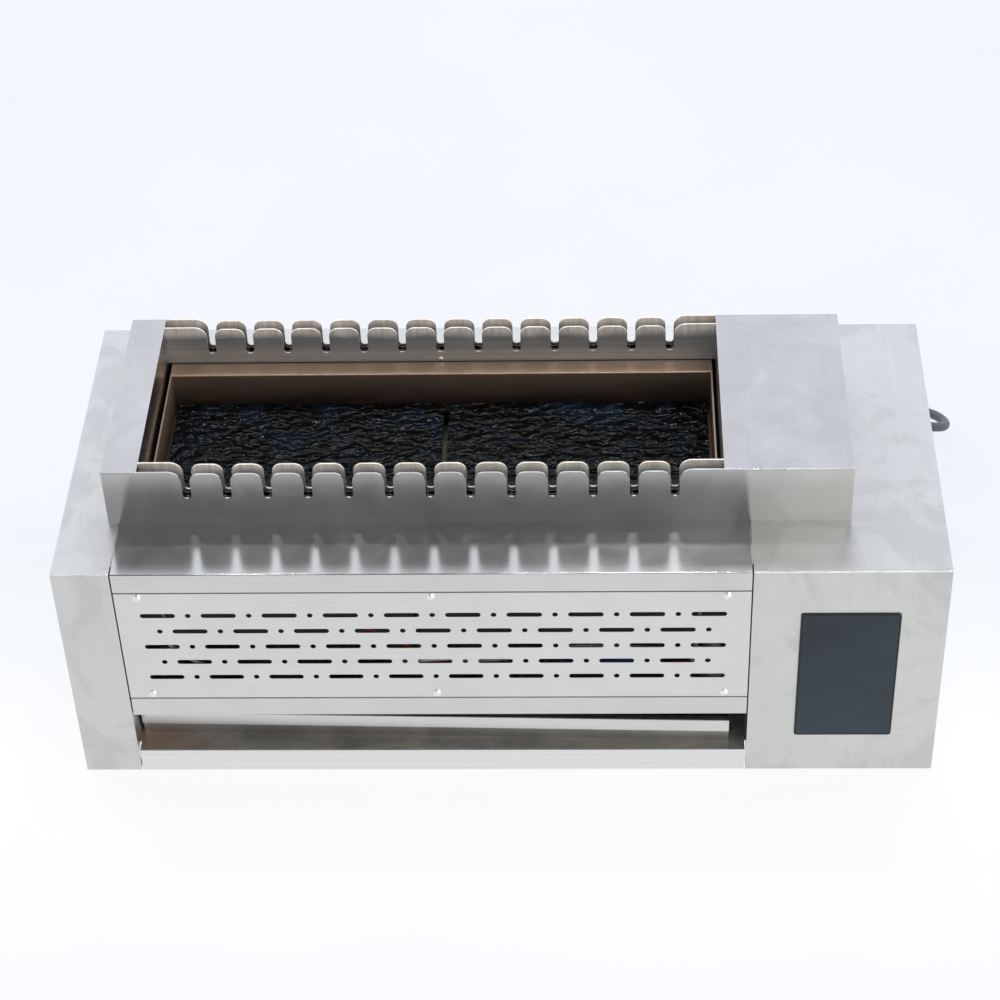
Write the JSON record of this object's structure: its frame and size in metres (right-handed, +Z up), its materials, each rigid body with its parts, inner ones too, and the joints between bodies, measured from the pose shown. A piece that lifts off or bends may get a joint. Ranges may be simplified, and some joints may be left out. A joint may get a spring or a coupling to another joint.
{
  "type": "rotisserie grill",
  "caption": "Electric skewer grill: steel box, raised frame with notched plates and chains that turn the skewers over rippled glass, touch panel, loose drip tray.",
  "frame": {"origin": "on the ground, under the middle of the lower box", "axes": "+X to the right seen from the touch panel's side, +Y to the back, +Z up"},
  "size_m": [0.8277, 0.5207, 0.3033],
  "materials": {
    "brushed_stainless": "brushed",
    "dull_stainless": "satin",
    "heat_tinted_stainless": "satin, heat tinted",
    "zinc_screws": "bright zinc",
    "chain_steel": "oiled",
    "gear_steel": "machined",
    "bronze_bush": "sintered",
    "rippled_glass": "rippled, opaque black",
    "touch_glass": "smooth, printed dark behind",
    "element_metal": "oxidised",
    "insulation": "matte",
    "ceramic": "matte",
    "motor_paint": "semi-gloss",
    "circuit_board": "lacquered",
    "spacer_plastic": "matte",
    "pad_rubber": "matte",
    "cord_rubber": "matte",
    "plug_plastic": "matte",
    "plug_brass": "bright",
    "red_silicone": "matte",
    "blue_silicone": "matte",
    "white_silicone": "matte"
  },
  "bodies": {
    "grill": {"base_pan": "brushed_stainless", "bearing_bushes": "bronze_bush", "bearing_stands": "dull_stainless", "blue_lead": "blue_silicone", "board_standoffs": "spacer_plastic", "cable_gland": "plug_plastic", "ceramic_bushes": "ceramic", "control_board": "circuit_board", "cord_coil": "cord_rubber", "drive_housing_cover": "brushed_stainless", "element_terminals": "zinc_screws", "foot_pads": "pad_rubber", "front_bulkhead": "dull_stainless", "front_chain": "chain_steel", "front_inner_plate": "heat_tinted_stainless", "front_outer_plate": "brushed_stainless", "front_panel_screws": "zinc_screws", "front_shelf": "brushed_stainless", "gear_motor": "motor_paint", "heater_pan": "heat_tinted_stainless", "inner_plate_screws": "zinc_screws", "insulation_board": "insulation", "left_end_cover": "brushed_stainless", "left_glass_panel": "rippled_glass", "left_heating_element": "element_metal", "left_partition": "dull_stainless", "left_raised_cap": "brushed_stainless", "lower_front_rail": "brushed_stainless", "mains_plug": "plug_plastic", "motor_bracket": "dull_stainless", "perforated_front_panel": "brushed_stainless", "plug_pins": "plug_brass", "power_cord": "cord_rubber", "rear_bulkhead": "dull_stainless", "rear_chain": "chain_steel", "rear_cover": "brushed_stainless", "rear_cover_screws": "zinc_screws", "rear_inner_plate": "heat_tinted_stainless", "rear_outer_plate": "brushed_stainless", "red_lead": "red_silicone", "right_end_cover": "brushed_stainless", "right_glass_panel": "rippled_glass", "right_heating_element": "element_metal", "right_partition": "dull_stainless", "rivet_nuts": "zinc_screws", "touch_board": "circuit_board", "touch_glass": "touch_glass", "well_liner": "heat_tinted_stainless", "white_leads": "white_silicone"},
    "tray": {"drip_tray": "brushed_stainless"},
    "drive": {"drive_shaft": "gear_steel", "drive_gear": "gear_steel", "front_drive_sprocket": "gear_steel", "rear_drive_sprocket": "gear_steel"},
    "idler": {"idler_shaft": "gear_steel", "front_idler_sprocket": "gear_steel", "rear_idler_sprocket": "gear_steel"},
    "motor_output": {"motor_output_shaft": "gear_steel", "motor_pinion": "gear_steel"}
  },
  "joints": [
    {"name": "tray_slide", "type": "slide", "parent": "grill", "child": "tray", "axis": [0, -1, 0], "range_m": [0, 0.28]},
    {"name": "drive_turn", "type": "hinge", "parent": "grill", "child": "drive", "pos_m": [0.2498, 0.0023, 0.25885], "axis": [0, 1, 0], "continuous": true, "deforming": ["front_chain", "rear_chain"]},
    {"name": "idler_turn", "type": "hinge", "parent": "grill", "child": "idler", "pos_m": [-0.3262, 0.0023, 0.25885], "axis": [0, 1, 0], "continuous": true, "deforming": ["front_chain", "rear_chain"]},
    {"name": "motor_turn", "type": "hinge", "parent": "grill", "child": "motor_output", "pos_m": [0.2498, 0.0023, 0.21835], "axis": [0, 1, 0], "continuous": true}
  ],
  "couplings": [
    {"joint": "motor_turn", "follows": "drive_turn", "ratio": -2},
    {"joint": "idler_turn", "follows": "drive_turn", "ratio": 1}
  ]
}
